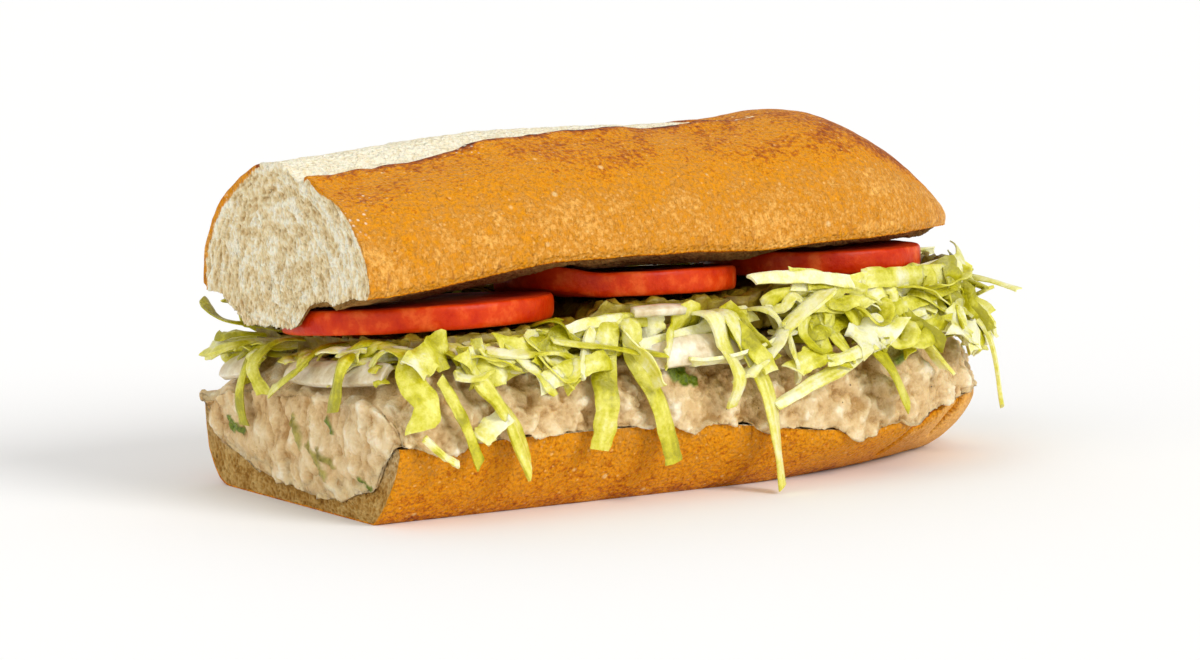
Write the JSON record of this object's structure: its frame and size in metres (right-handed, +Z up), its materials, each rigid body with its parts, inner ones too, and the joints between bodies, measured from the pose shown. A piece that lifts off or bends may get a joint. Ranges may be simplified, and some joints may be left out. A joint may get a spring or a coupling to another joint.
{
  "type": "submarine sandwich",
  "caption": "Half of a long sandwich roll, cut across at one end, filled with tuna salad, onion, shredded lettuce and tomato slices.",
  "frame": {"origin": "middle of the lower loaf's flat base, on the surface that it rests on", "axes": "+X along the loaf from the cut end to the round nose, +Z up, -Y towards the side that the picture shows"},
  "size_m": [0.196, 0.1017, 0.0837],
  "materials": {
    "crust": "satin baked bread crust, with matt pale crumb where it is cut or torn",
    "tuna_salad": "moist satin, lumpy",
    "tomato": "wet gloss",
    "lettuce": "satin leaf, slightly translucent",
    "onion": "moist and slightly translucent"
  },
  "bodies": {
    "root": {"bun_bottom": "crust", "tuna_salad": "tuna_salad", "onion_1": "onion", "onion_2": "onion", "onion_3": "onion", "onion_4": "onion", "lettuce_shreds": "lettuce", "tomato_1": "tomato", "tomato_2": "tomato", "tomato_3": "tomato", "bun_top": "crust"}
  },
  "joints": []
}
